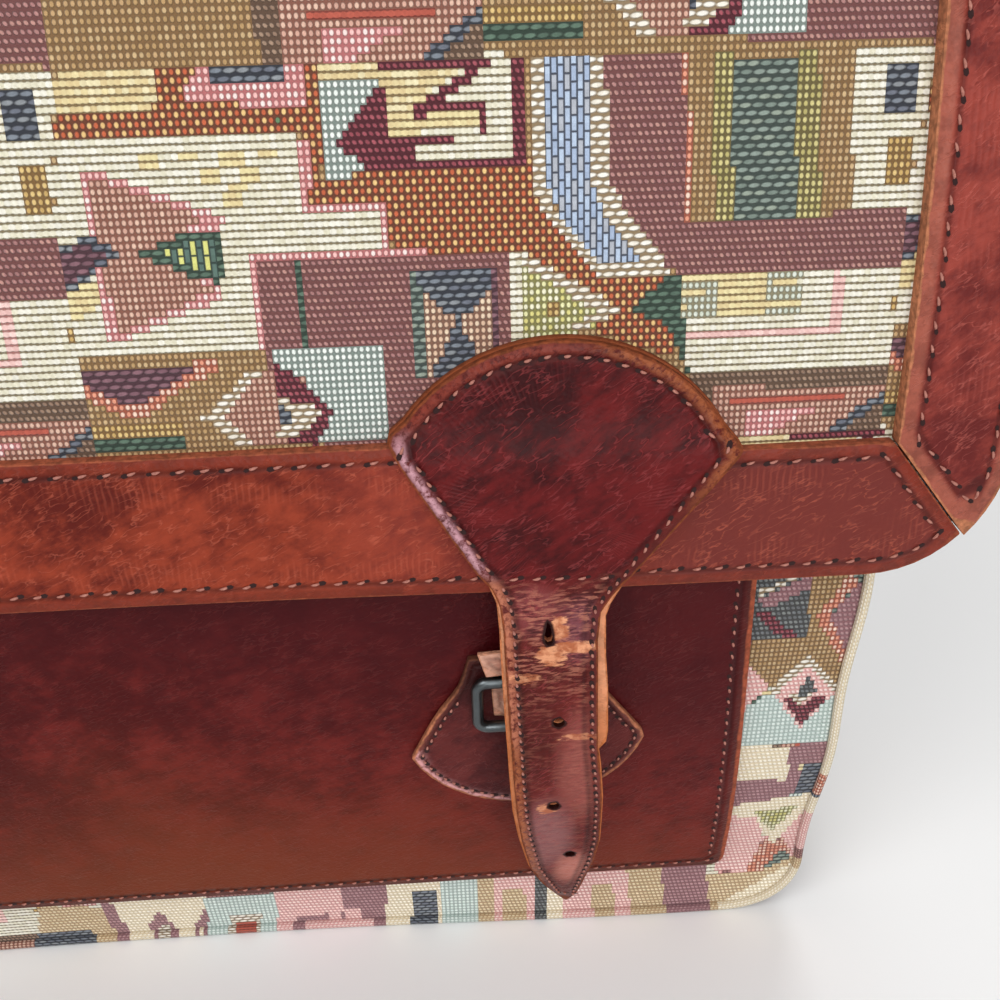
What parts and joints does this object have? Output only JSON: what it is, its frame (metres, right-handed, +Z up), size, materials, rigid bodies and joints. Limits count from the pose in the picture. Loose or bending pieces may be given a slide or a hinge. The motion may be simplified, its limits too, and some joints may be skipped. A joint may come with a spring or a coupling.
{
  "type": "tapestry briefcase",
  "caption": "Soft briefcase of woven tapestry with leather trim: front pocket, bordered flap, fan-headed straps over buckles and a top handle.",
  "frame": {"origin": "middle of the bottom, on the surface that the case stands on", "axes": "+X along the case to the right as seen from the front, -Y out of the front, +Z up"},
  "size_m": [0.396, 0.1236, 0.3397],
  "materials": {
    "tapestry": "flat-woven wool in many colours",
    "piping": "tapestry over cord",
    "border_leather": "waxed, worn",
    "strap_leather": "waxed, cracked at the bend",
    "tab_leather": "waxed, worn",
    "pocket_leather": "waxed, worn",
    "flap_lining": "split leather, matt",
    "lining": "plain cotton",
    "board": "raw fibreboard",
    "buckle_metal": "dull silver plate"
  },
  "bodies": {
    "bag": {"front_panel": "tapestry", "back_panel": "tapestry", "gusset": "tapestry", "base_board": "board", "lining": "lining", "front_piping": "piping", "back_piping": "piping", "mouth_binding": "pocket_leather", "front_pocket": "pocket_leather", "right_buckle_tab": "tab_leather", "left_buckle_tab": "tab_leather"},
    "flap": {"flap_lining": "flap_lining", "flap_panel": "tapestry", "flap_border_bottom": "border_leather", "flap_border_right": "border_leather", "flap_border_left": "border_leather", "right_strap": "strap_leather", "left_strap": "strap_leather", "handle": "strap_leather"},
    "right_buckle": {"right_buckle_frame": "buckle_metal"},
    "right_prong": {"right_buckle_prong": "buckle_metal"},
    "left_buckle": {"left_buckle_frame": "buckle_metal"},
    "left_prong": {"left_buckle_prong": "buckle_metal"}
  },
  "joints": [
    {"name": "flap_hinge", "type": "hinge", "parent": "bag", "child": "flap", "pos_m": [0, 0.038, 0.2893], "axis": [-1, 0, 0], "range_deg": [0, 170]},
    {"name": "right_buckle_swing", "type": "hinge", "parent": "bag", "child": "right_buckle", "pos_m": [0.10093, -0.06512, 0.104], "axis": [-1, 0, 0], "range_deg": [0, 6]},
    {"name": "right_prong_swing", "type": "hinge", "parent": "right_buckle", "child": "right_prong", "pos_m": [0.10593, -0.06512, 0.104], "axis": [-1, 0, 0], "range_deg": [0, 5]},
    {"name": "left_buckle_swing", "type": "hinge", "parent": "bag", "child": "left_buckle", "pos_m": [-0.10093, -0.06512, 0.104], "axis": [-1, 0, 0], "range_deg": [0, 6]},
    {"name": "left_prong_swing", "type": "hinge", "parent": "left_buckle", "child": "left_prong", "pos_m": [-0.10593, -0.06512, 0.104], "axis": [-1, 0, 0], "range_deg": [0, 5]}
  ]
}
